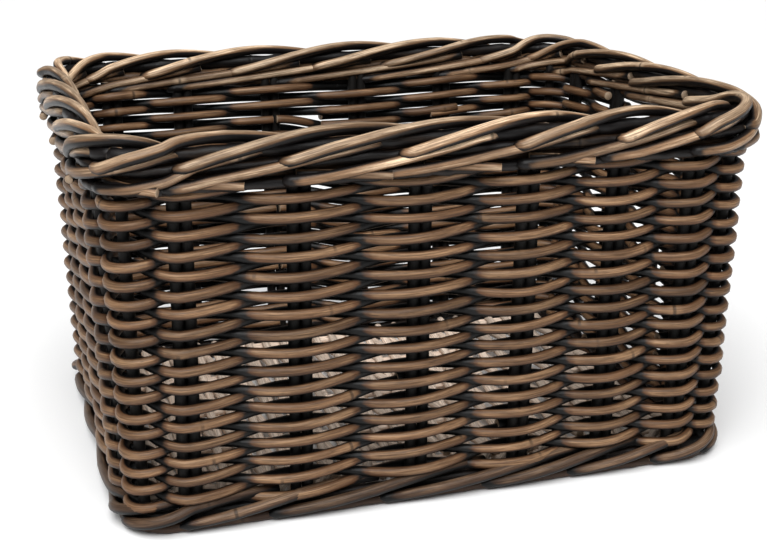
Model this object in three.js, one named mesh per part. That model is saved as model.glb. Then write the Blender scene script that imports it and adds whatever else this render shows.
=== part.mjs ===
// Rectangular wicker log basket, woven in thick rattan rods.
// Millimetres, +Z up. The origin is on the floor under the middle of the basket,
// +X runs along its length and -Y is one long side.
import * as THREE from "three";

// ---- driving dimensions -------------------------------------------------
const HEIGHT = 340; // floor to the top of the rim
const WALL_HALF_LENGTH = 269; // middle of the wall at the floor, along X
const WALL_HALF_WIDTH = 197; // middle of the wall at the floor, along Y
const CORNER_RADIUS = 34; // of the middle of the wall, at the floor
const FLARE = 0.03; // how far the wall leans out for each mm of height

const FRONT_STAKES = [-222, -127, -25, 70, 152, 224]; // along X, on the -Y side
const BACK_STAKES = [-224, -139, -41, 56, 150, 224]; // along -X, on the +Y side
const END_STAKES = [-150, -50, 50, 150]; // along Y, on both ends
const STAKE_THICKNESS = 7.4;
const STAKE_PAIR_WIDTH = 16; // a stake and its by-stake, side by side
const CORNER_POST_WIDTH = 8.6;

const WEAVER_WIDTH = 7.2; // side of a weaver's section
const LAYER = 8.1; // height that each woven rod takes up
const RING_LAYERS = 30; // layers that go all the way round
const HAND_HOLE_LAYERS = 4; // layers above them, broken by the hand holes
const TURNS_PER_WEAVER = 2; // one rod goes about twice round the basket
const FLOAT_OFFSET = 10.1; // from the middle of the wall to a weaver's middle, at a stake
const TIGHT_OFFSET = 8.7; // the same beside a corner, where the stakes are close
const CORNER_OFFSET = 9.5; // the same round a corner post
const CORNER_RUN = 10; // how far a weaver runs straight each side of a corner post
const TIGHT_RUN = 1.5; // how far it runs straight past the sides of a stake beside a corner
const WEAVER_TAIL = 12; // how far a weaver's end runs past its last stake
const TURN_SHOULDER = 0.3; // where a rod turns back at a hand hole, beyond the stake's side
const TURN_REACH = 6.2; // how far its turn stands off the stake's side

const FOOT_HEIGHT = 22; // floor to the top of the foot border
const FOOT_RING_HEIGHT = 7.4;
const FOOT_RING_WIDTH = 17;
const FOOT_ROD = 6.2;
const FOOT_TWIST_RADIAL = 7;
const FOOT_TWIST_HEIGHT = 4;

const RIM_ROD = 8;
const RIM_OFFSET = 6.5; // the rim's middle lies this far outside the wall's
const RIM_TWIST_RADIAL = 11.5;
const RIM_TWIST_HEIGHT = 16.2;
const RIM_RODS = 4;

const BASE_STICKS = 5;
const BASE_STICK_WIDTH = 10;
const BASE_STICK_HEIGHT = 5.5;
const BASE_MIDDLE = 17; // height of the middle of the base
const BASE_HALF_LENGTH = 252;
const BASE_HALF_WIDTH = 178;
const BASE_ROD = 5;
const BASE_ROD_PITCH = 9.4;
const BASE_ROD_OFFSET = 6.4; // from the middle of a stick to the middle of a rod over it
const BASE_EDGE = 13; // from the base's edge to the middle of its outer sticks
const BASE_TURN_SHOULDER = 1.5; // where a rod turns round an outer stick, beyond its side
const BASE_TURN_REACH = 5.5; // how far that turn stands off the stick's side
const BASE_WEAVERS = 4;

const BORDER_STEPS = 3; // straight lengths of a rim or foot rod from upright to upright
const GAP = 0.35; // clearance between neighbouring solids

// ---- materials ----------------------------------------------------------
const weaverBrown = new THREE.MeshStandardMaterial({ color: 0x6e4b32, roughness: 0.62, metalness: 0 });
const stakeDark = new THREE.MeshStandardMaterial({ color: 0x2a2422, roughness: 0.7, metalness: 0 });
const rimTan = new THREE.MeshStandardMaterial({ color: 0x9a7a5c, roughness: 0.58, metalness: 0 });
const footBrown = new THREE.MeshStandardMaterial({ color: 0x7a5a40, roughness: 0.62, metalness: 0 });
const baseBrown = new THREE.MeshStandardMaterial({ color: 0x5e4029, roughness: 0.68, metalness: 0 });

const basket = new THREE.Group();

function addPiece(name, geometry, material) {
  const mesh = new THREE.Mesh(geometry, material);
  mesh.name = name;
  basket.add(mesh);
}

// ---- the wall's outline -------------------------------------------------
// Distances along the outline are measured at the floor, anticlockwise seen from
// above, from the middle of the -Y side.
const STRAIGHT_X = WALL_HALF_LENGTH - CORNER_RADIUS;
const STRAIGHT_Y = WALL_HALF_WIDTH - CORNER_RADIUS;
const QUARTER_ARC = (Math.PI / 2) * CORNER_RADIUS;
const SIDE_TO_SIDE = STRAIGHT_X + QUARTER_ARC + STRAIGHT_Y; // middle of one side to the next
const PERIMETER = 4 * SIDE_TO_SIDE;

// The point of the outline at a distance along it, moved out by an offset.
function outlinePoint(distance, offset, z) {
  const wrapped = ((distance % PERIMETER) + PERIMETER) % PERIMETER;
  const half = Math.floor(wrapped / (2 * SIDE_TO_SIDE)); // 0 ends at the middle of the +Y side
  const sign = half === 0 ? 1 : -1;
  const along = wrapped - half * 2 * SIDE_TO_SIDE;
  const outward = offset + FLARE * z;
  let x;
  let y;
  let normal;
  if (along < STRAIGHT_X) {
    [x, y, normal] = [along, -WALL_HALF_WIDTH, -Math.PI / 2];
  } else if (along < STRAIGHT_X + QUARTER_ARC) {
    normal = (along - STRAIGHT_X) / CORNER_RADIUS - Math.PI / 2;
    x = STRAIGHT_X + CORNER_RADIUS * Math.cos(normal);
    y = -STRAIGHT_Y + CORNER_RADIUS * Math.sin(normal);
  } else if (along < SIDE_TO_SIDE + STRAIGHT_Y) {
    [x, y, normal] = [WALL_HALF_LENGTH, along - SIDE_TO_SIDE, 0];
  } else if (along < SIDE_TO_SIDE + STRAIGHT_Y + QUARTER_ARC) {
    normal = (along - SIDE_TO_SIDE - STRAIGHT_Y) / CORNER_RADIUS;
    x = STRAIGHT_X + CORNER_RADIUS * Math.cos(normal);
    y = STRAIGHT_Y + CORNER_RADIUS * Math.sin(normal);
  } else {
    [x, y, normal] = [2 * SIDE_TO_SIDE - along, WALL_HALF_WIDTH, Math.PI / 2];
  }
  x += outward * Math.cos(normal);
  y += outward * Math.sin(normal);
  return new THREE.Vector3(sign * x, sign * y, z);
}

// ---- rods ---------------------------------------------------------------
// A path through given points that keeps the rod's section upright all along it.
class RodPath extends THREE.Curve {
  constructor(points) {
    super();
    this.points = points;
  }

  getPoint(t) {
    return this.points[Math.round(t * (this.points.length - 1))].clone();
  }

  getPointAt(u) {
    return this.getPoint(u);
  }

  computeFrenetFrames() {
    const up = new THREE.Vector3(0, 0, 1);
    const last = this.points.length - 1;
    const frames = { tangents: [], normals: [], binormals: [] };
    this.points.forEach((point, i) => {
      const before = this.points[Math.max(i - 1, 0)];
      const after = this.points[Math.min(i + 1, last)];
      const into = point.clone().sub(before).normalize();
      const outOf = after.clone().sub(point).normalize();
      const tangent = into.add(outOf).normalize();
      const normal = up.clone().cross(tangent).normalize();
      frames.tangents.push(tangent);
      frames.normals.push(normal);
      frames.binormals.push(tangent.clone().cross(normal));
    });
    return frames;
  }
}

function rectangle(width, height) {
  const shape = new THREE.Shape();
  shape.moveTo(-width / 2, -height / 2);
  shape.lineTo(width / 2, -height / 2);
  shape.lineTo(width / 2, height / 2);
  shape.lineTo(-width / 2, height / 2);
  shape.closePath();
  return shape;
}

function rod(points, width, height = width) {
  return new THREE.ExtrudeGeometry(rectangle(width, height), {
    steps: points.length - 1,
    extrudePath: new RodPath(points),
  });
}

// ---- stakes and corner posts --------------------------------------------
const CORNER_DISTANCE = STRAIGHT_X + QUARTER_ARC / 2; // middle of the -Y side to a corner

function stakePairs(side, places, sideMiddle) {
  return places.map((place, i) => ({
    name: `stake_pair_${side}_${i + 1}`,
    distance: sideMiddle + place,
    halfWidth: STAKE_PAIR_WIDTH / 2,
    corner: false,
  }));
}

function cornerPost(name, distance) {
  return { name: `corner_post_${name}`, distance, halfWidth: CORNER_POST_WIDTH / 2, corner: true };
}

// Every upright, anticlockwise from the front left corner.
const uprights = [
  cornerPost("front_left", -CORNER_DISTANCE),
  ...stakePairs("front", FRONT_STAKES, 0),
  cornerPost("front_right", CORNER_DISTANCE),
  ...stakePairs("right", END_STAKES, SIDE_TO_SIDE),
  cornerPost("back_right", 2 * SIDE_TO_SIDE - CORNER_DISTANCE),
  ...stakePairs("back", BACK_STAKES, 2 * SIDE_TO_SIDE),
  cornerPost("back_left", 2 * SIDE_TO_SIDE + CORNER_DISTANCE),
  ...stakePairs("left", END_STAKES, 3 * SIDE_TO_SIDE),
];
const COUNT = uprights.length;
const RIGHT_HOLE = 9; // uprights[9] and [10] stand either side of the right hand hole
const LEFT_HOLE = 21; // uprights[21] and [22] stand either side of the left hand hole
const RAMP = 15; // the rods climb between uprights[15] and [16], in the back wall

function upright(number) {
  const index = ((number % COUNT) + COUNT) % COUNT;
  const laps = Math.floor(number / COUNT);
  const piece = uprights[index];
  return { ...piece, distance: piece.distance + laps * PERIMETER };
}

function addUprights() {
  const bottom = FOOT_HEIGHT + GAP;
  const top = RIM_MIDDLE - RIM_TWIST_HEIGHT - RIM_ROD / 2 - GAP;
  for (const piece of uprights) {
    const low = outlinePoint(piece.distance, 0, bottom);
    const high = outlinePoint(piece.distance, 0, top);
    const outward = outlinePoint(piece.distance, 1, bottom).sub(low);
    const width = 2 * piece.halfWidth;
    const depth = piece.corner ? CORNER_POST_WIDTH : STAKE_THICKNESS;
    addPiece(piece.name, leaningPost(low, high, outward, width, depth), stakeDark);
  }
}

// A straight post from low to high whose ends are level.
function leaningPost(low, high, outward, width, depth) {
  const height = high.z - low.z;
  const post = new THREE.BoxGeometry(width, depth, height);
  post.translate(0, 0, height / 2);
  const slopeX = (high.x - low.x) / height;
  const slopeY = (high.y - low.y) / height;
  const lean = new THREE.Matrix4();
  lean.set(1, 0, slopeX, low.x, 0, 1, slopeY, low.y, 0, 0, 1, low.z, 0, 0, 0, 1);
  post.rotateZ(Math.atan2(outward.y, outward.x) + Math.PI / 2);
  post.applyMatrix4(lean);
  return post;
}

// ---- weavers ------------------------------------------------------------
function layerHeight(layer) {
  return FOOT_HEIGHT + (layer + 0.5) * LAYER;
}

// A weaver passes outside one upright and inside the next, and the layer above it
// passes the other way.
function passSide(number, layer) {
  return (number + layer) % 2 === 0 ? 1 : -1;
}

function nextToCorner(number) {
  return upright(number - 1).corner || upright(number + 1).corner;
}

// The points of one pass by an upright, going anticlockwise.
function passPoints(number, layer) {
  const { distance, halfWidth, corner } = upright(number);
  const side = passSide(number, layer);
  const z = layerHeight(layer);
  if (corner && side > 0) {
    return [-CORNER_RUN, 0, CORNER_RUN].map((shift) => outlinePoint(distance + shift, CORNER_OFFSET, z));
  }
  if (corner) {
    return [outlinePoint(distance, -CORNER_OFFSET, z)];
  }
  if (nextToCorner(number)) {
    return [-halfWidth - TIGHT_RUN, halfWidth + TIGHT_RUN].map((shift) =>
      outlinePoint(distance + shift, side * TIGHT_OFFSET, z),
    );
  }
  return [outlinePoint(distance, side * FLOAT_OFFSET, z)];
}

// A weaver's end: straight on past its first or last upright.
function tailPoint(number, layer, direction) {
  const { distance } = upright(number);
  const offset = passSide(number, layer) * FLOAT_OFFSET;
  return outlinePoint(distance + direction * WEAVER_TAIL, offset, layerHeight(layer));
}

// One rod that goes round the basket, one turn on each of the given layers.
function ringWeaver(layers) {
  const first = RAMP + 1;
  const points = [tailPoint(first, layers[0], -1)];
  layers.forEach((layer, turn) => {
    for (let step = 0; step < COUNT; step += 1) {
      points.push(...passPoints(first + step + turn * COUNT, layer));
    }
  });
  const last = first + layers.length * COUNT - 1;
  points.push(tailPoint(last, layers[layers.length - 1], 1));
  return rod(points, WEAVER_WIDTH);
}

function addRingWeavers() {
  const layersEach = 2 * TURNS_PER_WEAVER;
  for (const [letter, firstLayer] of [["a", 0], ["b", 1]]) {
    let number = 1;
    for (let start = firstLayer; start < RING_LAYERS; start += layersEach) {
      const layers = [];
      for (let layer = start; layer < Math.min(start + layersEach, RING_LAYERS); layer += 2) {
        layers.push(layer);
      }
      addPiece(`weaver_${letter}${number}`, ringWeaver(layers), weaverBrown);
      number += 1;
    }
  }
}

// The turn round the upright beside a hand hole, from one layer up to the next. Each
// step is how far along, how far across the wall and what part of the climb.
function turnPoints(number, layer, direction) {
  const { distance, halfWidth } = upright(number);
  const side = passSide(number, layer);
  const shoulder = halfWidth + TURN_SHOULDER;
  const reach = halfWidth + TURN_REACH;
  const steps = [
    [shoulder, 1, 0.05],
    [reach, 0.5, 0.3],
    [reach, -0.5, 0.7],
    [shoulder, -1, 0.95],
  ];
  return steps.map(([along, across, climb]) =>
    outlinePoint(
      distance + direction * along,
      side * across * FLOAT_OFFSET,
      layerHeight(layer + climb),
    ),
  );
}

// One rod that runs to and fro between the two hand holes.
function handHoleWeaver(first, last) {
  const layers = Array.from({ length: HAND_HOLE_LAYERS }, (_, i) => RING_LAYERS + i);
  const points = [tailPoint(first, layers[0], -1)];
  layers.forEach((layer, i) => {
    const forward = i % 2 === 0;
    const passes = [];
    for (let number = first; number <= last; number += 1) {
      passes.push(passPoints(number, layer));
    }
    const going = passes.flat();
    points.push(...(forward ? going : going.reverse()));
    const end = forward ? last : first;
    const direction = forward ? 1 : -1;
    if (i < HAND_HOLE_LAYERS - 1) {
      points.push(...turnPoints(end, layer, direction));
    } else {
      points.push(tailPoint(end, layer, direction));
    }
  });
  return rod(points, WEAVER_WIDTH);
}

function addHandHoleWeavers() {
  const front = handHoleWeaver(LEFT_HOLE + 1 - COUNT, RIGHT_HOLE);
  const back = handHoleWeaver(RIGHT_HOLE + 1, LEFT_HOLE);
  addPiece("hand_hole_weaver_front", front, weaverBrown);
  addPiece("hand_hole_weaver_back", back, weaverBrown);
}

// ---- rim and foot -------------------------------------------------------
const RIM_MIDDLE = HEIGHT - RIM_TWIST_HEIGHT - RIM_ROD / 2;

// Points round the basket, a few between each upright and the next. The path gives a
// point for a distance and for the number of uprights passed since the first.
function borderPoints(path) {
  const points = [];
  for (let step = 0; step < COUNT * BORDER_STEPS; step += 1) {
    const number = Math.floor(step / BORDER_STEPS);
    const part = (step % BORDER_STEPS) / BORDER_STEPS;
    const here = upright(number).distance;
    const next = upright(number + 1).distance;
    points.push(path(here + part * (next - here), step / BORDER_STEPS));
  }
  return points;
}

// A closed rod with its two ends butted together, a small gap apart.
function addButtedRing(name, path, width, height, material) {
  const points = borderPoints(path);
  const start = points[0];
  const toStart = start.clone().sub(points[points.length - 1]);
  const end = start.clone().addScaledVector(toStart.normalize(), -GAP);
  addPiece(name, rod([...points, end], width, height), material);
}

// A path that winds by turn radians from each upright to the next, round a line at the
// given offset and middle height.
function windingPath(offset, middle, radial, height, turn, phase) {
  return (distance, uprightsPassed) => {
    const angle = phase + turn * uprightsPassed;
    const z = middle + height * Math.sin(angle);
    const flareHere = FLARE * (z - middle); // the rim and foot stand upright
    return outlinePoint(distance, offset + radial * Math.cos(angle) - flareHere, z);
  };
}

function addRim() {
  const turn = (2 * Math.PI) / RIM_RODS;
  for (let i = 0; i < RIM_RODS; i += 1) {
    const path = windingPath(
      RIM_OFFSET, RIM_MIDDLE, RIM_TWIST_RADIAL, RIM_TWIST_HEIGHT, turn, i * turn,
    );
    addButtedRing(`rim_rod_${i + 1}`, path, RIM_ROD, RIM_ROD, rimTan);
  }
  const core = (distance) => outlinePoint(distance, RIM_OFFSET, RIM_MIDDLE);
  addButtedRing("rim_core_rod", core, RIM_ROD, RIM_ROD, rimTan);
}

function addFoot() {
  const ring = (distance) => outlinePoint(distance, 0, FOOT_RING_HEIGHT / 2);
  addButtedRing("foot_ring", ring, FOOT_RING_WIDTH, FOOT_RING_HEIGHT, footBrown);
  const twistHalf = FOOT_TWIST_HEIGHT + FOOT_ROD / 2;
  for (let i = 0; i < 2; i += 1) {
    const path = windingPath(
      0, FOOT_HEIGHT - twistHalf, FOOT_TWIST_RADIAL, FOOT_TWIST_HEIGHT, Math.PI, i * Math.PI,
    );
    addButtedRing(`foot_border_rod_${i + 1}`, path, FOOT_ROD, FOOT_ROD, footBrown);
  }
}

// ---- base ---------------------------------------------------------------
const STICK_SPACING = (2 * (BASE_HALF_WIDTH - BASE_EDGE)) / (BASE_STICKS - 1);

function stickY(i) {
  return (i - (BASE_STICKS - 1) / 2) * STICK_SPACING;
}

function addBaseSticks() {
  for (let i = 0; i < BASE_STICKS; i += 1) {
    const stick = new THREE.BoxGeometry(2 * BASE_HALF_LENGTH, BASE_STICK_WIDTH, BASE_STICK_HEIGHT);
    stick.translate(0, stickY(i), BASE_MIDDLE);
    addPiece(`base_stick_${i + 1}`, stick, baseBrown);
  }
}

// The turn round an outer stick, from one pass to the next.
function baseTurn(x, stick, pass) {
  const outward = Math.sign(stickY(stick));
  const side = (stick + pass) % 2 === 0 ? 1 : -1;
  const shoulder = stickY(stick) + outward * (BASE_STICK_WIDTH / 2 + BASE_TURN_SHOULDER);
  const reach = stickY(stick) + outward * (BASE_STICK_WIDTH / 2 + BASE_TURN_REACH);
  return [
    new THREE.Vector3(x, shoulder, BASE_MIDDLE + side * BASE_ROD_OFFSET),
    new THREE.Vector3(x + BASE_ROD_PITCH / 2, reach, BASE_MIDDLE),
    new THREE.Vector3(x + BASE_ROD_PITCH, shoulder, BASE_MIDDLE - side * BASE_ROD_OFFSET),
  ];
}

// A rod woven across the sticks, to and fro, over one stick and under the next.
function baseWeaver(firstPass, passes) {
  const left = -BASE_HALF_LENGTH + BASE_ROD;
  const points = [];
  for (let pass = firstPass; pass < firstPass + passes; pass += 1) {
    const x = left + pass * BASE_ROD_PITCH;
    const sticks = Array.from({ length: BASE_STICKS }, (_, i) => i);
    if (pass % 2 === 1) {
      sticks.reverse();
    }
    for (const i of sticks) {
      const side = (i + pass) % 2 === 0 ? 1 : -1;
      points.push(new THREE.Vector3(x, stickY(i), BASE_MIDDLE + side * BASE_ROD_OFFSET));
    }
    if (pass < firstPass + passes - 1) {
      points.push(...baseTurn(x, sticks[BASE_STICKS - 1], pass));
    }
  }
  return rod(points, BASE_ROD);
}

function addBaseWeavers() {
  const room = 2 * (BASE_HALF_LENGTH - BASE_ROD);
  const passes = Math.floor(room / BASE_ROD_PITCH) + 1;
  const each = Math.ceil(passes / BASE_WEAVERS);
  for (let i = 0; i < BASE_WEAVERS; i += 1) {
    const first = i * each;
    addPiece(`base_weaver_${i + 1}`, baseWeaver(first, Math.min(each, passes - first)), baseBrown);
  }
}

addUprights();
addRingWeavers();
addHandHoleWeavers();
addRim();
addFoot();
addBaseSticks();
addBaseWeavers();

export default basket;
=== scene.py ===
"""Looks of a rectangular wicker log basket, woven in thick dark rattan rods.

Metres, +Z up. The basket stands on the floor with its middle at the origin, its length
along X and one long side facing -Y. Every rod is a swept round tube that follows the
route of the piece it stands for.
"""

import math
import random

import bpy
import numpy as np
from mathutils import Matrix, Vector


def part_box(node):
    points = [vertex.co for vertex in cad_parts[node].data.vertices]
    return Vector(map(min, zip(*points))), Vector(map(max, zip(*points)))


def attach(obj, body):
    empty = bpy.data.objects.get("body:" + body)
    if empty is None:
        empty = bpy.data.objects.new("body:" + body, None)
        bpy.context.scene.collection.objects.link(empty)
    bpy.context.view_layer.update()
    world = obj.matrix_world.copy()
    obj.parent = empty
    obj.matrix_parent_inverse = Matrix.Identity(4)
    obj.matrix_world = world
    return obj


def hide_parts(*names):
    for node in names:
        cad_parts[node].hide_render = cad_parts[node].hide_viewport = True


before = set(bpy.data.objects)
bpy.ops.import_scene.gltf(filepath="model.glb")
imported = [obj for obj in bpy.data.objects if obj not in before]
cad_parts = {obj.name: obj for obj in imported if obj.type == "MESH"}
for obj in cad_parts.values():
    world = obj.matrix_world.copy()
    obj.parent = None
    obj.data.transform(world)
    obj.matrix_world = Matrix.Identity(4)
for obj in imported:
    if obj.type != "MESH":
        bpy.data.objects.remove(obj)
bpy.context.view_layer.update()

# ---- the basket's shape ------------------------------------------------------------
HEIGHT = 0.340
WALL_HALF_LENGTH = 0.269  # to the middle of the wall, at the floor
WALL_HALF_WIDTH = 0.197
CORNER_RADIUS = 0.034
FLARE = 0.03  # how far the walls lean out for each metre of height
LAYER = 0.0081  # height of one layer of the weave
RING_LAYERS = 30  # layers that go all the way round
HAND_HOLE_LAYERS = 4  # layers above them, beside the hand holes
TURN_STEPS = 8  # of a rod half way round a stake beside a hand hole
RAMP = 15  # the rods climb between uprights 15 and 16, in the back wall
RIGHT_HOLE = 9  # each hand hole is between this upright and the next
LEFT_HOLE = 21

STAKE_RADIUS = 0.0051
STAKE_HALF_GAP = 0.0050  # from the middle of a pair to the middle of each of its rods
CORNER_POST_RADIUS = 0.0050
UPRIGHT_FOOT = 0.010  # where the uprights start, and how far under the rim's middle they end
UPRIGHT_BEND = 0.0004
UPRIGHT_WAVE = 0.3  # length of its bends

WEAVER_RADIUS = 0.0046
WEAVE_OFFSET = 0.0100  # from the middle of the wall to a weaver's middle, at a stake
CROSSING_RISE = 0.0011  # of a rod that goes in between two stakes, above its layer
OUTSIDE_DIP = 0.0018  # of a rod where it passes outside a stake, below its layer
WALL_SAG = 0.0013  # of all the layers together, up or down
SAG_WAVE = 0.6
WEAVER_BEND = 0.0011  # of each rod, up or down
WEAVER_SWAY = 0.0006  # of each rod, in or out
WEAVER_WAVE = 0.22
SHORTEST_ROD = 0.9
LONGEST_ROD = 1.7
JOIN_LAP = 3  # steps that a rod goes on beside the next one
JOIN_RISE = 0.0026  # of a rod's start above its layer, and of its end below it
JOIN_INWARD = 0.0018

RIM_OFFSET = 0.0065  # from the wall's middle out to the rim's
RIM_RADIAL = 0.0122
RIM_HALF_HEIGHT = 0.0125
RIM_RODS = 4
RIM_STRAND_RADIUS = 0.0050
UNDER_STRAND_RADIUS = 0.0046
INNER_STRAND_RADIUS = 0.0044
STUB_RADIUS = 0.0040
RIM_TAPER = 0.06
RIM_MIDDLE = HEIGHT - RIM_HALF_HEIGHT - RIM_STRAND_RADIUS
# label, offset outside the rim's middle, rise above it, radius and how exposed
RIM_CORE = (
    ("middle", 0.0, 0.001, 0.0062, 0.06),
    ("outer", 0.0035, -0.010, 0.0046, 0.10),
    ("inner", -0.0045, -0.009, 0.0048, 0.30),
    ("lowest", -0.0055, -0.0195, 0.0042, 0.30),
    ("under", 0.0020, -0.0256, 0.0046, 0.06),
)

FOOT_HEIGHT = 0.022
FOOT_OFFSET = 0.0030  # from the wall's middle out to the middle of the foot's twist
FOOT_RADIAL = 0.0105
FOOT_MIDDLE = 0.0158
FOOT_HALF_HEIGHT = 0.0098
FOOT_HEART = 0.013  # the height that the foot's rods get paler away from: painted highlight, partly stain wear
FOOT_RODS = 2
FOOT_STRAND_RADIUS = 0.0050
# label, offset outside the wall's middle, height, radius and how exposed
FOOT_RING = (
    ("outer", 0.0045, 0.0053, 0.0046, 0.5),
    ("inner", -0.0050, 0.0053, 0.0046, 0.5),
    ("heart", -0.0010, 0.0135, 0.0050, 0.15),
)
BORDER_BEND = 0.0006  # of the rods inside the rim and under the foot
RIM_CORE_WAVE = 0.3
FOOT_RING_WAVE = 0.25
BORDER_STEPS = 360  # points once round on each of them

BASE_STICKS = 5
BASE_STICK_RADIUS = 0.0027
BASE_WEAVERS = 4
BASE_MIDDLE = 0.017
BASE_ROD_RADIUS = 0.0040
BASE_ROD_OFFSET = 0.0058  # from the middle of the base to a rod's, above or below a stick
BASE_ROD_PITCH = 0.0094
BASE_ROD_STEP = 0.006
BASE_MARGIN = 0.005  # of the sticks past the first and last rods
BASE_TURN = 0.010  # of the rods past the outer sticks, where they turn back

# ---- rods --------------------------------------------------------------------------
SIDES = 12  # of a rod's round section
STEP = 0.005  # length of a rod from one section to the next
CAP_RADIUS = 0.9  # of a cut end inside its rounded edge, as part of the rod's radius
CAP_REACH = 0.12  # of the rounded edge past the rod, as part of its radius
CAP_MIDDLE = 0.08
THICKNESS_CHANGE = 0.045  # along a rod, as part of its radius
THICKNESS_WAVE = 0.35
NODE_SPACING = 0.23  # between the rings on a rod
NODE_SWELL = 0.07  # of a rod at a ring, as part of its radius
NODE_REACH = 0.004
GRAIN_RANGE = 5.0  # of the place along the grain where a rod starts
BLUNTEST_NOSE = 0.1  # the square of its first ring's size, as part of the rod's
NEARLY_UPRIGHT = 0.9  # the cosine from which a rod counts as upright

TOP_HIGHLIGHT = 0.50  # painted highlight: how much paler the tops of the rods are, as if lit from above
HIGHLIGHT_UPWARD = 0.6  # how far the pale side of a border's rods is turned up, for a painted highlight on top
DARKEST_UP_TO = 0.28  # a rod is darkest up to here, stained and in painted shade, and palest from the next on, with stain wear and a painted highlight
PALEST_FROM = 1.10
CREVICE_SHADE = 1.10  # painted shade: how much darker a rod is where it isn't exposed, partly also stain with less wear there
# Where a weaver is covered by the others, its colour is painted dark as shade.
CROSSING_FROM = -0.30  # a weaver is hidden up to this part of its offset from the wall's
CROSSING_TO = 0.45  # middle, and fully exposed from this part on

# ---- the wall's outline ------------------------------------------------------------
STRAIGHT_X = WALL_HALF_LENGTH - CORNER_RADIUS
STRAIGHT_Y = WALL_HALF_WIDTH - CORNER_RADIUS
QUARTER_ARC = math.pi / 2 * CORNER_RADIUS
SIDE_TO_SIDE = STRAIGHT_X + QUARTER_ARC + STRAIGHT_Y
PERIMETER = 4 * SIDE_TO_SIDE
CORNER_DISTANCE = STRAIGHT_X + QUARTER_ARC / 2


def outline_point(distance, outward):
    """The point of the wall's outline at a distance anticlockwise from the middle of
    the -Y side, moved out, as x and y."""
    half, along = divmod(distance % PERIMETER, 2 * SIDE_TO_SIDE)
    sign = 1 if half == 0 else -1
    if along < STRAIGHT_X:
        x, y, normal = along, -WALL_HALF_WIDTH, -math.pi / 2
    elif along < STRAIGHT_X + QUARTER_ARC:
        normal = (along - STRAIGHT_X) / CORNER_RADIUS - math.pi / 2
        x = STRAIGHT_X + CORNER_RADIUS * math.cos(normal)
        y = -STRAIGHT_Y + CORNER_RADIUS * math.sin(normal)
    elif along < SIDE_TO_SIDE + STRAIGHT_Y:
        x, y, normal = WALL_HALF_LENGTH, along - SIDE_TO_SIDE, 0.0
    elif along < SIDE_TO_SIDE + STRAIGHT_Y + QUARTER_ARC:
        normal = (along - SIDE_TO_SIDE - STRAIGHT_Y) / CORNER_RADIUS
        x = STRAIGHT_X + CORNER_RADIUS * math.cos(normal)
        y = STRAIGHT_Y + CORNER_RADIUS * math.sin(normal)
    else:
        x, y, normal = 2 * SIDE_TO_SIDE - along, WALL_HALF_WIDTH, math.pi / 2
    x += outward * math.cos(normal)
    y += outward * math.sin(normal)
    return sign * x, sign * y


def wall_point(distance, offset, z):
    """A point at a height, an offset outside the middle of the leaning wall."""
    x, y = outline_point(distance, offset + FLARE * z)
    return np.array([x, y, z])


def border_point(distance, offset, z, middle):
    """The same beside a border, which stands upright about its middle height."""
    x, y = outline_point(distance, offset + FLARE * middle)
    return np.array([x, y, z])


def out_of_wall(point):
    """The wall's outward direction at a point, and how far outside the outline it is."""
    core_x = max(-STRAIGHT_X, min(STRAIGHT_X, point[0]))
    core_y = max(-STRAIGHT_Y, min(STRAIGHT_Y, point[1]))
    across = np.array([point[0] - core_x, point[1] - core_y, 0.0])
    distance = float(np.linalg.norm(across))
    return across / distance, distance - CORNER_RADIUS


def ways_out_of_wall(path):
    return [out_of_wall(point)[0] for point in path]


def unit(vector):
    return vector / max(1e-6, float(np.linalg.norm(vector)))


def ways_out_of_border(path, offset, z):
    """From the middle of a border, at an offset and height, to each point of a path, and
    somewhat up, for a painted highlight on the tops of the border's rods."""
    ways = []
    for point in path:
        outward, outside = out_of_wall(point)
        way = outward * (outside - offset)
        way[2] = point[2] - z
        way = unit(way)
        way[2] += HIGHLIGHT_UPWARD
        ways.append(unit(way))
    return ways


# ---- the uprights, anticlockwise from the front left corner ------------------------
def side_nodes(side, count):
    return [f"stake_pair_{side}_{i}" for i in range(1, count + 1)]


def stakes(side, count, axis, start, direction):
    """The stake pairs of a side, with their distances along the outline, which come
    from their places in the frame. The outline is at start at the side's middle."""
    found = []
    for node in side_nodes(side, count):
        low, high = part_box(node)
        found.append((node, "stake", start + direction * (low[axis] + high[axis]) / 2))
    return found


UPRIGHTS = (
    [("corner_post_front_left", "post", -CORNER_DISTANCE)]
    + stakes("front", 6, 0, 0.0, 1)
    + [("corner_post_front_right", "post", CORNER_DISTANCE)]
    + stakes("right", 4, 1, SIDE_TO_SIDE, 1)
    + [("corner_post_back_right", "post", 2 * SIDE_TO_SIDE - CORNER_DISTANCE)]
    + stakes("back", 6, 0, 2 * SIDE_TO_SIDE, -1)
    + [("corner_post_back_left", "post", 2 * SIDE_TO_SIDE + CORNER_DISTANCE)]
    + stakes("left", 4, 1, 3 * SIDE_TO_SIDE, -1)
)
COUNT = len(UPRIGHTS)


def upright_distance(number):
    """Distance of an upright along the outline. A number past the last goes on round."""
    laps, index = divmod(number, COUNT)
    return UPRIGHTS[index][2] + laps * PERIMETER


def distance_at(place):
    """Distance at a place between uprights, such as 3.5, half way from 3 to 4."""
    number = math.floor(place)
    here = upright_distance(number)
    return here + (place - number) * (upright_distance(number + 1) - here)


# ---- rods as meshes ----------------------------------------------------------------
def wave(seed, scale):
    """A slow smooth random function of a distance along a rod, about -1 to 1, made of
    waves somewhat longer and shorter than scale."""
    source = random.Random(seed)
    terms = []
    for _ in range(4):
        rate = source.uniform(0.5, 1.6) / scale
        terms.append((rate, source.uniform(0, 2 * math.pi)))

    def value(distance):
        return sum(math.sin(2 * math.pi * rate * distance + phase) for rate, phase in terms) / 2.5

    return value


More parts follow.
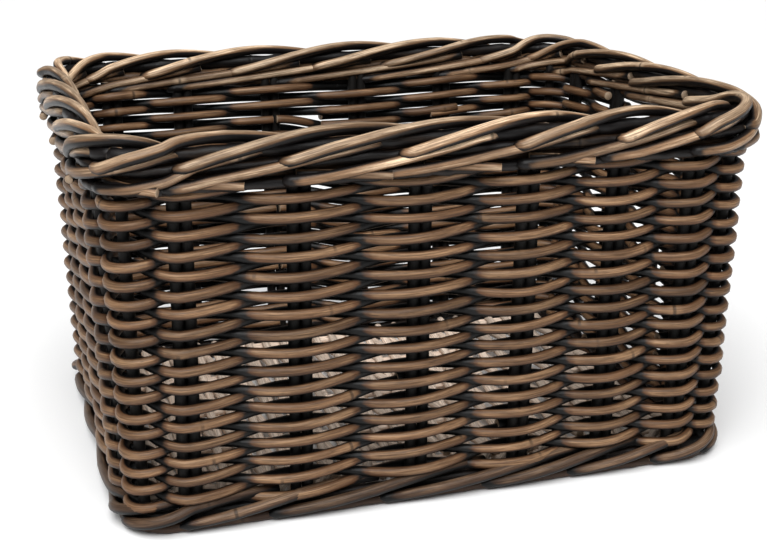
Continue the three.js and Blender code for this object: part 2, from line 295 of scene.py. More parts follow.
def smooth_path(points, step=STEP):
    """Points a step apart along a smooth curve through the given points."""
    points = [np.asarray(p, float) for p in points]
    padded = [2 * points[0] - points[1]] + points + [2 * points[-1] - points[-2]]
    path = []
    for before, here, there, after in zip(padded, padded[1:], padded[2:], padded[3:]):
        pieces = max(1, round(float(np.linalg.norm(there - here)) / step))
        linear = there - before
        square = 2 * before - 5 * here + 4 * there - after
        cubic = 3 * here - before - 3 * there + after
        for i in range(pieces):
            t = i / pieces
            path.append(0.5 * (2 * here + linear * t + square * t**2 + cubic * t**3))
    path.append(points[-1])
    return path


def smoothstep(low, high, value):
    part = max(0.0, min(1.0, (value - low) / (high - low)))
    return part * part * (3 - 2 * part)


def frames_along(path):
    """The tangent, normal and binormal at each point of a path, with no twist."""
    tangents = np.gradient(path, axis=0)
    tangents /= np.linalg.norm(tangents, axis=1)[:, None]
    starts_upright = abs(tangents[0][2]) >= NEARLY_UPRIGHT
    helper = np.array([1.0, 0.0, 0.0]) if starts_upright else np.array([0.0, 0.0, 1.0])
    normal = helper - tangents[0] * helper.dot(tangents[0])
    frames = []
    for tangent in tangents:
        normal = normal - tangent * normal.dot(tangent)
        normal = normal / np.linalg.norm(normal)
        frames.append((tangent, normal, np.cross(tangent, normal)))
    return frames


def wear_and_painted_light(facing, upward, shown):
    """How pale a rod is: stain wear and a painted highlight where it faces its open side and on
    top, painted shade in the crevices, and where it comes out of them, a pale ridge only."""
    highlight_crest = abs(facing) + TOP_HIGHLIGHT * upward
    return smoothstep(DARKEST_UP_TO, PALEST_FROM, highlight_crest - CREVICE_SHADE * (1 - shown))


def evenly(path, shown):
    """Exposure of a rod that is as exposed all along and on both sides."""
    return [(shown, shown)] * len(path)


class Strands:
    """Collects swept rods and makes them one mesh object.

    Two vectors go with each vertex: "grain" is the distance along the rod and the place
    round it, and "look" is the rod's own number, how pale it is from stain wear, painted
    shade and a painted highlight, and 1 on a cut end.
    """

    def __init__(self):
        self.verts = []
        self.faces = []
        self.grain = []
        self.look = []

    def add_ring(self, centre, normal, binormal, radius, along, look, way=None):
        """look is the rod's own number, how exposed its sides toward way and away from
        it are, and 1 on a cut end."""
        first = len(self.verts)
        own, toward, away, cut = look
        for i in range(SIDES):
            angle = 2 * math.pi * i / SIDES
            across, up = math.cos(angle), math.sin(angle)
            spoke = across * normal + up * binormal
            # How pale this side is: stain wear, with painted shade in the crevices and a painted
            # highlight on the tops.
            bare_and_unshaded = toward
            if way is not None:
                facing = float(spoke.dot(way))
                bare_and_unshaded = wear_and_painted_light(facing, spoke[2], toward if facing > 0 else away)
            self.verts.append(centre + radius * spoke)
            self.grain.append((along, across, up))
            self.look.append((own, bare_and_unshaded, cut))
        return first

    def join(self, lower, upper):
        for i in range(SIDES):
            j = (i + 1) % SIDES
            self.faces.append((lower + i, lower + j, upper + j, upper + i))

    def cap(self, centre, frame, radius, along, look, outward):
        """A cut end with a softly rounded edge."""
        tangent, normal, binormal = frame
        own, toward, away, _ = look
        edge_centre = centre + outward * tangent * radius * CAP_REACH
        edge = self.add_ring(
            edge_centre, normal, binormal, radius * CAP_RADIUS, along, (own, toward, away, 1.0)
        )
        middle = len(self.verts)
        self.verts.append(centre + outward * tangent * radius * CAP_MIDDLE)
        self.grain.append((along, 0.0, 0.0))
        self.look.append((own, toward, 1.0))
        for i in range(SIDES):
            j = (i + 1) % SIDES
            face = (edge + i, edge + j, middle) if outward > 0 else (edge + j, edge + i, middle)
            self.faces.append(face)
        return edge

    def add_rod(self, path, radius, seed, exposure, ways=None, taper=0.0, nose=False):
        """Sweeps a round rod along a path. For each point, ways gives a direction and
        exposure how exposed the rod is on the side that faces it and on the other. taper
        is how much thinner the far end is. A nose is a rounded start, where the rod folds
        out from behind others."""
        path = np.array(path)
        source = random.Random(seed)
        own = source.random()
        start = source.uniform(0, GRAIN_RANGE)
        thickness = wave(f"thickness {seed}", THICKNESS_WAVE)
        steps = np.linalg.norm(np.diff(path, axis=0), axis=1)
        along = np.concatenate([[0.0], np.cumsum(steps)])
        frames = frames_along(path)
        looks = [(own, *shown, 0.0) for shown in exposure]
        rings = []
        sizes = []
        for i, (_, normal, binormal) in enumerate(frames):
            to_node = abs(((along[i] + start) / NODE_SPACING) % 1 - 0.5) * NODE_SPACING
            swell = NODE_SWELL * math.exp(-((to_node / NODE_REACH) ** 2))
            change = THICKNESS_CHANGE * thickness(along[i])
            size = radius * (1 + change + swell - taper * i / len(path))
            if nose and along[i] < radius:
                size *= math.sqrt(max(BLUNTEST_NOSE, 1 - (1 - along[i] / radius) ** 2))
            sizes.append(size)
            way = None if ways is None else ways[i]
            place = along[i] + start
            rings.append(self.add_ring(path[i], normal, binormal, size, place, looks[i], way))
        for lower, upper in zip(rings, rings[1:]):
            self.join(lower, upper)
        first = self.cap(path[0], frames[0], sizes[0], along[0] + start, looks[0], -1)
        last = self.cap(path[-1], frames[-1], sizes[-1], along[-1] + start, looks[-1], 1)
        self.join(first, rings[0])
        self.join(rings[-1], last)

    def make(self, name, material, slot, *nodes):
        mesh = bpy.data.meshes.new(name)
        mesh.from_pydata([tuple(v) for v in self.verts], [], self.faces)
        for label, values in (("grain", self.grain), ("look", self.look)):
            attribute = mesh.attributes.new(label, "FLOAT_VECTOR", "POINT")
            attribute.data.foreach_set("vector", np.array(values, np.float32).ravel())
        mesh.shade_smooth()
        mesh.materials.append(material)
        piece = bpy.data.objects.new(name, mesh)
        bpy.context.scene.collection.objects.link(piece)
        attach(piece, "root")
        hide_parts(*nodes)


# ---- material ----------------------------------------------------------------------
PITH_DARK = (0.20, 0.13, 0.085)
PITH_PALE = (0.42, 0.32, 0.22)


class Graph:
    """Makes and links the nodes of a procedural material. A source is an output
    socket, a number or a colour."""

    def __init__(self, material):
        self.nodes = material.node_tree.nodes
        self.links = material.node_tree.links

    def connect(self, source, socket):
        if isinstance(source, bpy.types.NodeSocket):
            self.links.new(source, socket)
        elif isinstance(source, tuple):
            socket.default_value = (*source, 1.0)
        else:
            socket.default_value = source

    def calculate(self, operation, a, b=0.0, c=0.0, clamp=False):
        node = self.nodes.new("ShaderNodeMath")
        node.operation = operation
        node.use_clamp = clamp
        for socket, source in zip(node.inputs, (a, b, c)):
            self.connect(source, socket)
        return node.outputs[0]

    def add(self, a, b):
        return self.calculate("ADD", a, b)

    def subtract(self, a, b):
        return self.calculate("SUBTRACT", a, b)

    def multiply(self, a, b):
        return self.calculate("MULTIPLY", a, b)

    def scale(self, source, factor, shift, clamp=False):
        return self.calculate("MULTIPLY_ADD", source, factor, shift, clamp)

    def ramp(self, source, low, high):
        """0 below low and 1 above high, smooth between them."""
        node = self.nodes.new("ShaderNodeMapRange")
        node.interpolation_type = "SMOOTHSTEP"
        self.connect(source, node.inputs["Value"])
        node.inputs["From Min"].default_value = low
        node.inputs["From Max"].default_value = high
        return node.outputs["Result"]

    def mix(self, factor, a, b, blend="MIX"):
        node = self.nodes.new("ShaderNodeMix")
        node.data_type = "RGBA"
        node.blend_type = blend
        self.connect(factor, node.inputs["Factor"])
        self.connect(a, node.inputs["A"])
        self.connect(b, node.inputs["B"])
        return node.outputs["Result"]

    def grey(self, value):
        node = self.nodes.new("ShaderNodeCombineColor")
        for socket in node.inputs:
            self.links.new(value, socket)
        return node.outputs[0]

    def attribute(self, label):
        node = self.nodes.new("ShaderNodeAttribute")
        node.attribute_name = label
        split = self.nodes.new("ShaderNodeSeparateXYZ")
        self.links.new(node.outputs["Vector"], split.inputs[0])
        return split.outputs

    def noise(self, place, detail):
        """Noise at a place, given by its three coordinates."""
        vector = self.nodes.new("ShaderNodeCombineXYZ")
        for source, socket in zip(place, vector.inputs):
            self.links.new(source, socket)
        node = self.nodes.new("ShaderNodeTexNoise")
        node.inputs["Scale"].default_value = 1.0
        node.inputs["Detail"].default_value = detail
        node.inputs["Roughness"].default_value = 0.62
        self.links.new(vector.outputs[0], node.inputs["Vector"])
        return node.outputs["Fac"]


def rattan(name, shade_and_marks, body, worn_and_highlight, roughness, streaks):
    """Stained rattan: painted shade where the rods cross and in crevices, paler where they
    are exposed, with stain wear and a painted highlight, streaked along the grain, with
    rings at its nodes and pale cut ends."""
    material = bpy.data.materials.new(name)
    material.use_nodes = True
    shader = material.node_tree.nodes["Principled BSDF"]
    graph = Graph(material)
    along, across, up = graph.attribute("grain")
    own, shown, cut = graph.attribute("look")

    def rod_noise(along_scale, round_scale, detail, shift):
        """Noise stretched along the rod, different on each rod."""
        apart = graph.multiply(own, 37.0)
        place = (
            graph.scale(along, along_scale, shift),
            graph.scale(across, round_scale, apart),
            graph.multiply(up, round_scale),
        )
        return graph.noise(place, detail)

    fibre = rod_noise(along_scale=38.0, round_scale=4.6, detail=5.0, shift=3.0)
    fine = rod_noise(along_scale=110.0, round_scale=12.0, detail=3.0, shift=11.0)
    patch = rod_noise(along_scale=14.0, round_scale=0.7, detail=4.0, shift=23.0)
    cloud = rod_noise(along_scale=4.0, round_scale=0.25, detail=2.0, shift=41.0)
    speck = rod_noise(along_scale=80.0, round_scale=4.0, detail=2.0, shift=57.0)

    # Painted shade: less exposed parts, in the crossings and crevices, go to the darkest colour.
    exposed = graph.add(shown, graph.scale(patch, 0.5, -0.25))
    bare_and_unshaded = graph.ramp(exposed, 0.05, 0.55)
    colour = graph.mix(bare_and_unshaded, shade_and_marks, body)
    # Painted highlight, partly stain wear: the most exposed parts go towards the palest colour.
    highlight_crest = graph.ramp(exposed, 0.55, 1.20)
    colour = graph.mix(graph.multiply(highlight_crest, 0.35), colour, worn_and_highlight)
    rubbed = graph.add(graph.multiply(patch, 0.7), graph.multiply(fibre, 0.5))
    rubbed = graph.multiply(graph.ramp(rubbed, 0.52, 0.80), graph.ramp(exposed, 0.5, 1.0))
    colour = graph.mix(graph.multiply(rubbed, 0.75), colour, worn_and_highlight)

    rod_tone = graph.add(graph.scale(own, 0.55, 0.66), graph.scale(cloud, 0.7, -0.3))
    streak = graph.scale(graph.ramp(fibre, 0.30, 0.68), streaks, 1.0 - 0.6 * streaks)
    hair = graph.scale(fine, 0.5, 0.75)
    tone = graph.multiply(graph.multiply(rod_tone, streak), hair)
    colour = graph.mix(1.0, colour, graph.grey(tone), "MULTIPLY")

    turn = graph.calculate("FRACT", graph.calculate("DIVIDE", along, NODE_SPACING))
    to_node = graph.calculate("ABSOLUTE", graph.subtract(turn, 0.5))
    strong = graph.ramp(cloud, 0.45, 0.60)
    ring = graph.multiply(graph.subtract(1.0, graph.ramp(to_node, 0.003, 0.009)), strong)
    halo = graph.multiply(graph.subtract(1.0, graph.ramp(to_node, 0.012, 0.04)), strong)
    colour = graph.mix(graph.multiply(graph.multiply(halo, 0.30), bare_and_unshaded), colour, worn_and_highlight)
    colour = graph.mix(graph.multiply(ring, 0.60), colour, shade_and_marks)
    spots = graph.ramp(speck, 0.62, 0.72)
    colour = graph.mix(graph.multiply(spots, 0.45), colour, shade_and_marks)
    pith = graph.mix(graph.ramp(fine, 0.35, 0.65), PITH_DARK, PITH_PALE)
    graph.connect(graph.mix(cut, colour, pith), shader.inputs["Base Color"])

    rough = graph.scale(fibre, 0.25, roughness - 0.12, clamp=True)
    graph.connect(rough, shader.inputs["Roughness"])
    shader.inputs["Specular IOR Level"].default_value = 0.22
    shader.inputs["Coat Weight"].default_value = 0.03
    shader.inputs["Coat Roughness"].default_value = 0.35

    height = graph.scale(fibre, 0.6, graph.multiply(fine, 0.4))
    height = graph.subtract(height, graph.multiply(ring, 0.8))
    bump = graph.nodes.new("ShaderNodeBump")
    bump.inputs["Strength"].default_value = 0.55
    bump.inputs["Distance"].default_value = 0.0007
    graph.connect(height, bump.inputs["Height"])
    graph.connect(bump.outputs[0], shader.inputs["Normal"])
    return material


# Darkest colour: painted shade in crossings and crevices, and the node rings and specks. Palest:
# painted highlight, and rubbed wear.
WALL_RATTAN = rattan(
    "wall_rattan",
    shade_and_marks=(0.003, 0.003, 0.003),
    body=(0.084, 0.039, 0.018),
    worn_and_highlight=(0.285, 0.172, 0.092),
    roughness=0.40,
    streaks=0.65,
)
STAKE_RATTAN = rattan(
    "stake_rattan",
    shade_and_marks=(0.002, 0.002, 0.002),
    body=(0.004, 0.0035, 0.003),
    worn_and_highlight=(0.014, 0.011, 0.010),
    roughness=0.60,
    streaks=0.5,
)
RIM_RATTAN = rattan(
    "rim_rattan",
    shade_and_marks=(0.005, 0.004, 0.004),
    body=(0.172, 0.096, 0.050),
    worn_and_highlight=(0.860, 0.640, 0.430),
    roughness=0.38,
    streaks=0.6,
)
FOOT_RATTAN = rattan(
    "foot_rattan",
    shade_and_marks=(0.003, 0.003, 0.003),
    body=(0.053, 0.027, 0.015),
    worn_and_highlight=(0.175, 0.110, 0.066),
    roughness=0.44,
    streaks=0.75,
)
BASE_RATTAN = rattan(
    "base_rattan",
    shade_and_marks=(0.060, 0.042, 0.030),
    body=(0.640, 0.510, 0.410),
    worn_and_highlight=(0.800, 0.690, 0.580),
    roughness=0.55,
    streaks=0.6,
)


# ---- stakes and posts --------------------------------------------------------------
def make_uprights():
    heights = np.arange(UPRIGHT_FOOT, RIM_MIDDLE - UPRIGHT_FOOT, 2 * STEP)
    for node, kind, distance in UPRIGHTS:
        strands = Strands()
        shifts = [0.0] if kind == "post" else [-STAKE_HALF_GAP, STAKE_HALF_GAP]
        radius = CORNER_POST_RADIUS if kind == "post" else STAKE_RADIUS
        for i, shift in enumerate(shifts):
            bend = wave(f"{node} bend {i}", UPRIGHT_WAVE)
            path = []
            for z in heights:
                place = distance + shift + UPRIGHT_BEND * bend(z)
                path.append(wall_point(place, UPRIGHT_BEND * bend(z + 1), z))
            strands.add_rod(path, radius, f"{node} {i}", evenly(path, 0.75))
        strands.make(f"{node}_rattan", STAKE_RATTAN, "stake", node)


# ---- weavers -----------------------------------------------------------------------
SAG = wave("wall sag", SAG_WAVE)


def pass_side(number, layer):
    """1 where a layer passes outside an upright, -1 where it passes inside."""
    return 1 if (number + layer) % 2 == 0 else -1


def weave_offset(place, layer):
    number = math.floor(place)
    return WEAVE_OFFSET * pass_side(number, layer) * math.cos(math.pi * (place - number))


def layer_height(layer):
    return FOOT_HEIGHT + (layer + 0.5) * LAYER


def exposure_of(offset):
    """How exposed a rod is on the outside of the wall and on the inside, which sets how much
    painted shade it gets.
    """
    side = offset / WEAVE_OFFSET
    outside = smoothstep(CROSSING_FROM, CROSSING_TO, side)
    inside = smoothstep(CROSSING_FROM, CROSSING_TO, -side)
    return outside, inside


def wandering(place, layer, height_layer, bend):
    """A point of a rod woven as its layer is, with small bends of its own, and its
    exposure. Its height is that of height_layer."""
    distance = distance_at(place)
    offset = weave_offset(place, layer)
    going_in = math.sin(math.pi * (place % 1)) * pass_side(math.floor(place), layer)
    z = layer_height(height_layer) + CROSSING_RISE * going_in
    z -= OUTSIDE_DIP * offset / WEAVE_OFFSET
    z += WALL_SAG * SAG(distance % PERIMETER) + WEAVER_BEND * bend(distance)
    point = wall_point(distance, offset + WEAVER_SWAY * bend(distance + 3), z)
    return point, exposure_of(offset)


def steps_between(number, next_number):
    """How many steps there are from one upright to the next."""
    length = abs(upright_distance(next_number) - upright_distance(number))
    return max(4, round(length / STEP))


def ring_route(layers):
    """The places and layers of a rod that goes round once on each of the layers. It
    climbs by two layers between the RAMP upright and the one after it, in the end to
    where the next weaver starts. Under the top it is tucked in half way instead."""
    route = []
    for turn, layer in enumerate(layers):
        start = RAMP + 1 + turn * COUNT
        for number in range(start, start + COUNT):
            pieces = steps_between(number, number + 1)
            climbs = number == start + COUNT - 1
            tucked = climbs and layer + 2 >= RING_LAYERS
            for i in range(pieces // 2 if tucked else pieces):
                part = i / pieces
                rise = 2 * smoothstep(0, 1, part) if climbs and not tucked else 0
                route.append((number + part, layer + rise))
    return route


def rod_ends(route, layer, source):
    """Where one rod of a route ends and the next starts, inside the wall at an upright."""
    ends = [0]
    while ends[-1] < len(route) - 1:
        wanted = ends[-1] + round(source.uniform(SHORTEST_ROD, LONGEST_ROD) / STEP)
        end = len(route) - 1
        for i in range(wanted, len(route)):
            upright = round(route[i][0])
            if abs(route[i][0] - upright) < 0.02 and pass_side(upright, layer) < 0:
                end = i
                break
        ends.append(end)
    return ends


def ring_weaver(name, layers, source):
    """Rods laid end to end along one route, each starting inside the wall, beside the
    end of the one before it."""
    route = ring_route(layers)
    final = len(route) - 1
    ends = rod_ends(route, layers[0], source)
    strands = Strands()
    for i, (start, end) in enumerate(zip(ends, ends[1:])):
        points = []
        exposure = []
        last = min(end + JOIN_LAP, final)
        bend = wave(f"{name} {i} bend", WEAVER_WAVE)
        for j in range(max(0, start - JOIN_LAP), last + 1):
            place, height_layer = route[j]
            point, shown = wandering(place, layers[0], height_layer, bend)
            from_start = (j - start + JOIN_LAP) / (3 * JOIN_LAP)
            to_end = (last - j) / (3 * JOIN_LAP)
            into_join = max(0.0, 1 - from_start) if i else 0.0
            out_of_join = max(0.0, 1 - to_end) if end < final else 0.0
            point[2] += JOIN_RISE * into_join - JOIN_RISE * out_of_join
            inward = JOIN_INWARD * (into_join + out_of_join)
            point[:2] *= 1 - inward / np.linalg.norm(point[:2])
            points.append(point)
            exposure.append(shown)
        radius = WEAVER_RADIUS * source.uniform(0.93, 1.04)
        strands.add_rod(points, radius, f"{name} {i}", exposure, ways_out_of_wall(points))
    return strands


def make_ring_weavers():
    source = random.Random("ring weavers")
    for letter, first_layer in (("a", 0), ("b", 1)):
        for number, start in enumerate(range(first_layer, RING_LAYERS, 4), start=1):
            layers = [layer for layer in (start, start + 2) if layer < RING_LAYERS]
            node = f"weaver_{letter}{number}"
            strands = ring_weaver(node, layers, source)
            strands.make(f"{node}_rattan", WALL_RATTAN, "weaver", node)


def places_between(start, end):
    """The places from one upright to another, either way round."""
    places = []
    direction = 1 if end > start else -1
    for number in range(start, end, direction):
        pieces = steps_between(number, number + direction)
        places += [number + direction * i / pieces for i in range(pieces)]
    return places + [end]


def turn_back(number, layer, direction):
    """The points of a rod that turns round an end stake, up to the next layer."""
    side = pass_side(number, layer)
    reach = STAKE_HALF_GAP + STAKE_RADIUS + WEAVER_RADIUS
    points = []
    for i in range(1, TURN_STEPS):
        angle = math.pi * i / TURN_STEPS
        distance = upright_distance(number) + direction * reach * math.sin(angle)
        z = layer_height(layer + 0.5 - 0.5 * math.cos(angle))
        points.append(wall_point(distance, side * WEAVE_OFFSET * math.cos(angle), z))
    return points


def hand_hole_weaver(name, first, last):
    """One rod that goes to and fro between the hand holes, round the end stakes."""
    points = []
    exposure = []
    bend = wave(f"{name} bend", WEAVER_WAVE)
    for i in range(HAND_HOLE_LAYERS):
        layer = RING_LAYERS + i
        start, end = (first, last) if i % 2 == 0 else (last, first)
        for place in places_between(start, end):
            point, shown = wandering(place, layer, layer, bend)
            points.append(point)
            exposure.append(shown)
        if i < HAND_HOLE_LAYERS - 1:
            turn = turn_back(end, layer, 1 if end > start else -1)
            points += turn
            exposure += evenly(turn, 0.8)
    strands = Strands()
    strands.add_rod(points, WEAVER_RADIUS, name, exposure, ways_out_of_wall(points))
    strands.make(f"{name}_rattan", WALL_RATTAN, "weaver", name)


# ---- rim ---------------------------------------------------------------------------
def rim_point(place, angle):
    """A point round the rim's section: angle 0 is outside, a quarter turn is on top."""
    offset = RIM_OFFSET + RIM_RADIAL * math.cos(angle)
    z = RIM_MIDDLE + RIM_HALF_HEIGHT * math.sin(angle)
    return border_point(distance_at(place), offset, z, RIM_MIDDLE)


def shifted_rim_point(place, shift, offset, rise):
    """A point beside the rim, a shift along it from a place, an offset outside the
    rim's middle and a rise above it."""
    distance = distance_at(place) + shift
    return border_point(distance, RIM_OFFSET + offset, RIM_MIDDLE + rise, RIM_MIDDLE)


def top_strand(number, source):
    """A stake's end: it folds out from the wall and crosses the rim from outside to
    inside, where it runs down to the rim's lower edge."""
    start = number - 0.12 + source.uniform(-0.08, 0.08)
    end = start + source.uniform(2.35, 2.7)
    points = [
        shifted_rim_point(start, shift=-0.004, offset=0.007, rise=-0.0085),
        shifted_rim_point(start, shift=0.003, offset=0.0115, rise=-0.0075),
    ]
    first_angle = math.radians(source.uniform(-22, -12))
    last_angle = math.radians(source.uniform(205, 220))
    for i in range(1, 13):
        part = i / 12
        place = start + (end - start) * (0.06 + 0.94 * part)
        angle = first_angle + (last_angle - first_angle) * part
        points.append(rim_point(place, angle))
    points.append(shifted_rim_point(end, shift=0.012, offset=-0.0045, rise=-0.0115))
    return smooth_path(points)


def under_strand(number, source):
    """The by-stake's end: it lies along the rim's outer face, under the strands on top."""
    start = number - 0.3 + source.uniform(-0.15, 0.15)
    end = start + source.uniform(1.5, 1.85)
    low = -0.0236 + source.uniform(-0.0012, 0.0012)
    points = [
        shifted_rim_point(start, shift=0.000, offset=0.003, rise=low),
        shifted_rim_point(start, shift=0.006, offset=0.0085, rise=low),
    ]
    for i in range(1, 9):
        part = i / 8
        place = start + (end - start) * part
        offset = 0.0115 - 0.0060 * part**3
        rise = low + 0.023 * part**1.2
        points.append(shifted_rim_point(place, shift=0.012, offset=offset, rise=rise))
    points.append(shifted_rim_point(end, shift=0.030, offset=-0.001, rise=0.0))
    return smooth_path(points)


def inner_strand(number, source):
    """The same rod's tip: it comes from under the top strands and runs down the inside."""
    start = number - 0.3 + source.uniform(-0.15, 0.15)
    end = start + source.uniform(1.9, 2.3)
    low = -0.0220 + source.uniform(-0.0015, 0.0015)
    points = []
    for i in range(9):
        part = i / 8
        place = start + (end - start) * part
        offset = -0.0075 - 0.0035 * part
        rise = -0.002 + (low + 0.002) * part**0.9
        points.append(shifted_rim_point(place, shift=0.0, offset=offset, rise=rise))
    points.append(shifted_rim_point(end, shift=0.010, offset=-0.0040, rise=low - 0.001))
    return smooth_path(points)


def stub_strand(number, source):
    """A trimmed end that shows its cut under the rim's outer face."""
    end = number + source.uniform(0.35, 0.75)
    start = end - source.uniform(0.5, 0.8)
    points = [
        shifted_rim_point(start, shift=0.0, offset=0.001, rise=-0.0200),
        shifted_rim_point((start + end) / 2, shift=0.0, offset=0.0080, rise=-0.0215),
        shifted_rim_point(end, shift=0.0, offset=0.0155, rise=-0.0235),
    ]
    return smooth_path(points)


def dark_ended(path, shown, at_ends=0.15):
    """Exposure of a rod that comes out of the dark between others at both ends."""
    last = len(path) - 1
    exposure = []
    for i in range(last + 1):
        into_light = min(1.0, at_ends + 7 * min(i, last - i) / last)
        exposure.append((shown * into_light, 0.1))
    return exposure


def add_rim_strand(strands, path, radius, label, exposure, nose=False):
    ways = ways_out_of_border(path, RIM_OFFSET + FLARE * RIM_MIDDLE, RIM_MIDDLE)
    strands.add_rod(path, radius, label, exposure, ways, RIM_TAPER, nose)


def add_rim_strands(strands, number, source):
    """The strands that start at one upright."""
    top = top_strand(number, source)
    radius = RIM_STRAND_RADIUS * source.uniform(0.93, 1.08)
    exposure = dark_ended(top, 1.0, 0.55)
    add_rim_strand(strands, top, radius, f"rim top {number}", exposure, nose=True)
    under = under_strand(number, source)
    radius = UNDER_STRAND_RADIUS * source.uniform(0.94, 1.06)
    exposure = dark_ended(under, 0.95, 0.35)
    add_rim_strand(strands, under, radius, f"rim under {number}", exposure, nose=True)
    inner = inner_strand(number, source)
    exposure = dark_ended(inner, 1.0)
    add_rim_strand(strands, inner, INNER_STRAND_RADIUS, f"rim inner {number}", exposure)
    if source.random() < 0.6:
        stub = stub_strand(number, source)
        exposure = [(1.0, 0.6)] * len(stub)
        add_rim_strand(strands, stub, STUB_RADIUS, f"rim stub {number}", exposure)


def make_rim():
    source = random.Random("rim")
    for i in range(RIM_RODS):
        strands = Strands()
        for number in range(i, COUNT, RIM_RODS):
            add_rim_strands(strands, number, source)
        node = f"rim_rod_{i + 1}"
        strands.make(f"{node}_rattan", RIM_RATTAN, "rim", node)


def places_all_round():
    return [COUNT * i / BORDER_STEPS for i in range(BORDER_STEPS + 1)]


def make_rim_core():
    core = Strands()
    for label, offset, rise, radius, shown in RIM_CORE:
        bend = wave(f"rim {label}", RIM_CORE_WAVE)
        path = []
        for place in places_all_round():
            out = offset + BORDER_BEND * bend(place)
            up = rise + BORDER_BEND * bend(place + 9)
            path.append(shifted_rim_point(place, shift=0.0, offset=out, rise=up))
        core.add_rod(path, radius, f"rim {label}", evenly(path, shown))
    core.make("rim_core_rod_rattan", RIM_RATTAN, "rim", "rim_core_rod")


# ---- foot --------------------------------------------------------------------------
def foot_point(place, offset, z):
    return border_point(distance_at(place), offset, z, 0.0)


def foot_strand(number, source):
    """A stake's lower end: it turns under the wall and climbs the foot's outer face."""
    start = number - 0.35 + source.uniform(-0.1, 0.1)
    end = start + source.uniform(1.9, 2.3)
    points = []
    for i in range(12):
        part = i / 11
        angle = math.radians(-65 + 185 * part**1.1)
        offset = FOOT_OFFSET + FOOT_RADIAL * math.cos(angle)
        z = FOOT_MIDDLE + FOOT_HALF_HEIGHT * math.sin(angle)
        points.append(foot_point(start + (end - start) * part, offset, z))
    return smooth_path(points)


def make_foot_border():
    source = random.Random("foot")
    for i in range(FOOT_RODS):
        strands = Strands()
        for number in range(i, COUNT, FOOT_RODS):
            path = foot_strand(number, source)
            radius = FOOT_STRAND_RADIUS * source.uniform(0.94, 1.06)
            ways = ways_out_of_border(path, 0.0, FOOT_HEART)
            strands.add_rod(path, radius, f"foot {number}", dark_ended(path, 1.0), ways, nose=True)
        node = f"foot_border_rod_{i + 1}"
        strands.make(f"{node}_rattan", FOOT_RATTAN, "foot", node)


def make_foot_ring():
    ring = Strands()
    for label, offset, z, radius, shown in FOOT_RING:
        bend = wave(f"foot {label}", FOOT_RING_WAVE)
        path = [foot_point(p, offset + BORDER_BEND * bend(p), z) for p in places_all_round()]
        ring.add_rod(path, radius, f"foot {label}", evenly(path, shown))
    ring.make("foot_ring_rattan", FOOT_RATTAN, "foot", "foot_ring")


# ---- base --------------------------------------------------------------------------
def base_stick_boxes():
    return [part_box(f"base_stick_{i}") for i in range(1, BASE_STICKS + 1)]


def make_base_sticks():
    """Each stick is two thin rods side by side."""
    boxes = base_stick_boxes()
    left, right = boxes[0][0][0], boxes[0][1][0]
    for i, (low, high) in enumerate(boxes, start=1):
        strands = Strands()
        for shift in (-BASE_STICK_RADIUS, BASE_STICK_RADIUS):
            y = (low[1] + high[1]) / 2 + shift
            path = [np.array([x, y, BASE_MIDDLE]) for x in np.arange(left, right, 2 * STEP)]
            strands.add_rod(path, BASE_STICK_RADIUS, f"stick {i} {shift}", evenly(path, 0.6))
        node = f"base_stick_{i}"
        strands.make(f"{node}_rattan", BASE_RATTAN, "base", node)


def make_base_weavers():
    """Rods that go to and fro over and under the sticks, from left to right."""
    boxes = base_stick_boxes()
    sticks = [(low[1] + high[1]) / 2 for low, high in boxes]
    left, right = boxes[0][0][0], boxes[0][1][0]
    passes = int((right - left - 2 * BASE_MARGIN) / BASE_ROD_PITCH) + 1
    each = math.ceil(passes / BASE_WEAVERS)
    for weaver in range(BASE_WEAVERS):
        points = []
        for number in range(weaver * each, min(passes, (weaver + 1) * each)):
            x = left + BASE_MARGIN + number * BASE_ROD_PITCH
            order = list(enumerate(sticks))
            if number % 2 == 1:
                order.reverse()
            for i, y in order:
                side = 1 if (i + number) % 2 == 0 else -1
                points.append(np.array([x, y, BASE_MIDDLE + side * BASE_ROD_OFFSET]))
            turn_y = order[-1][1] + math.copysign(BASE_TURN, order[-1][1])
            points.append(np.array([x + BASE_ROD_PITCH / 2, turn_y, BASE_MIDDLE]))
        path = smooth_path(points[:-1], BASE_ROD_STEP)
        strands = Strands()
        strands.add_rod(path, BASE_ROD_RADIUS, f"base {weaver}", evenly(path, 0.7))
        node = f"base_weaver_{weaver + 1}"
        strands.make(f"{node}_rattan", BASE_RATTAN, "base", node)


# ---- floor, light and camera -------------------------------------------------------
FLOOR_HALF_SIZE = 12.0
PAPER_GREY = 0.93
WORLD_STRENGTH = 0.22
SUN_STRENGTH = 3.1
SUN_ANGLE = 1.2  # a wide sun, for soft shadows
TOWARD_SUN = (-0.25, -0.45, 1.0)
FRONT_LIGHT_PLACE = (-0.8, -2.0, 2.3)
FRONT_LIGHT_TARGET = (0.0, 0.0, 0.20)
FRONT_LIGHT_SIZE = (1.6, 1.0)
FRONT_LIGHT_POWER = 34.0  # watts
CAMERA_PLACE = (-0.380, -1.240, 0.556)
CAMERA_TILT_DOWN = 0.3127
CAMERA_TURN_RIGHT = 0.303
CAMERA_LENS = 65.0
CAMERA_SENSOR = 36.0


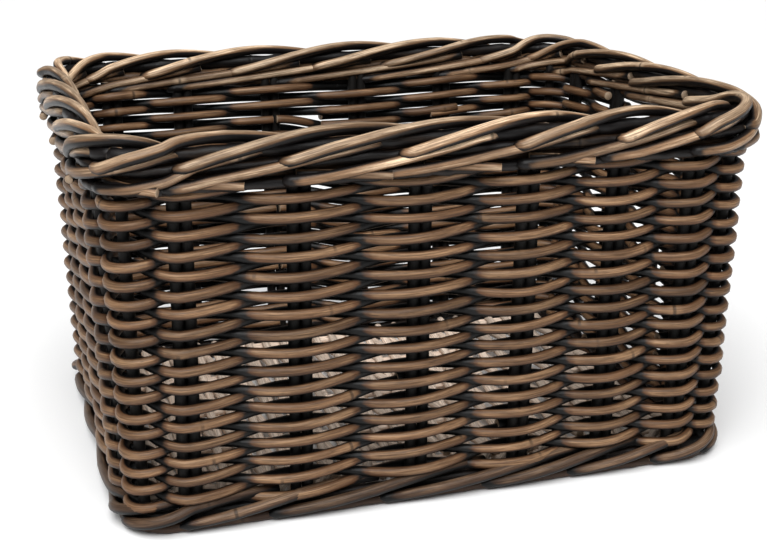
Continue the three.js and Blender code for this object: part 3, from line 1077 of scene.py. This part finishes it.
def make_floor():
    mesh = bpy.data.meshes.new("floor")
    size = FLOOR_HALF_SIZE
    corners = [(-size, -size, 0), (size, -size, 0), (size, size, 0), (-size, size, 0)]
    mesh.from_pydata(corners, [], [(0, 1, 2, 3)])
    floor = bpy.data.objects.new("floor", mesh)
    bpy.context.scene.collection.objects.link(floor)
    paper = bpy.data.materials.new("floor_paper")
    paper.use_nodes = True
    shader = paper.node_tree.nodes["Principled BSDF"]
    shader.inputs["Base Color"].default_value = (PAPER_GREY, PAPER_GREY, PAPER_GREY, 1.0)
    shader.inputs["Roughness"].default_value = 0.9
    mesh.materials.append(paper)


def make_world():
    world = bpy.data.worlds.new("studio")
    world.use_nodes = True
    background = world.node_tree.nodes["Background"]
    background.inputs["Color"].default_value = (1.0, 1.0, 1.0, 1.0)
    background.inputs["Strength"].default_value = WORLD_STRENGTH
    bpy.context.scene.world = world
    bpy.context.scene.view_settings.view_transform = "Standard"


def make_sun():
    data = bpy.data.lights.new("overhead", "SUN")
    data.energy = SUN_STRENGTH
    data.angle = SUN_ANGLE
    light = bpy.data.objects.new("overhead", data)
    light.rotation_euler = Vector(TOWARD_SUN).to_track_quat("Z", "Y").to_euler()
    bpy.context.scene.collection.objects.link(light)


def make_front_light():
    data = bpy.data.lights.new("front", "AREA")
    data.shape = "RECTANGLE"
    data.size, data.size_y = FRONT_LIGHT_SIZE
    data.energy = FRONT_LIGHT_POWER
    light = bpy.data.objects.new("front", data)
    light.location = FRONT_LIGHT_PLACE
    direction = Vector(FRONT_LIGHT_TARGET) - Vector(FRONT_LIGHT_PLACE)
    light.rotation_euler = direction.to_track_quat("-Z", "Y").to_euler()
    bpy.context.scene.collection.objects.link(light)


def make_camera():
    data = bpy.data.cameras.new("camera")
    data.sensor_width = CAMERA_SENSOR
    data.lens = CAMERA_LENS
    camera = bpy.data.objects.new("camera", data)
    camera.location = CAMERA_PLACE
    camera.rotation_euler = (math.pi / 2 - CAMERA_TILT_DOWN, 0.0, -CAMERA_TURN_RIGHT)
    bpy.context.scene.collection.objects.link(camera)
    bpy.context.scene.camera = camera


make_uprights()
make_ring_weavers()
hand_hole_weaver("hand_hole_weaver_front", LEFT_HOLE + 1 - COUNT, RIGHT_HOLE)
hand_hole_weaver("hand_hole_weaver_back", RIGHT_HOLE + 1, LEFT_HOLE)
make_rim()
make_rim_core()
make_foot_border()
make_foot_ring()
make_base_sticks()
make_base_weavers()
make_floor()
make_world()
make_sun()
make_front_light()
make_camera()
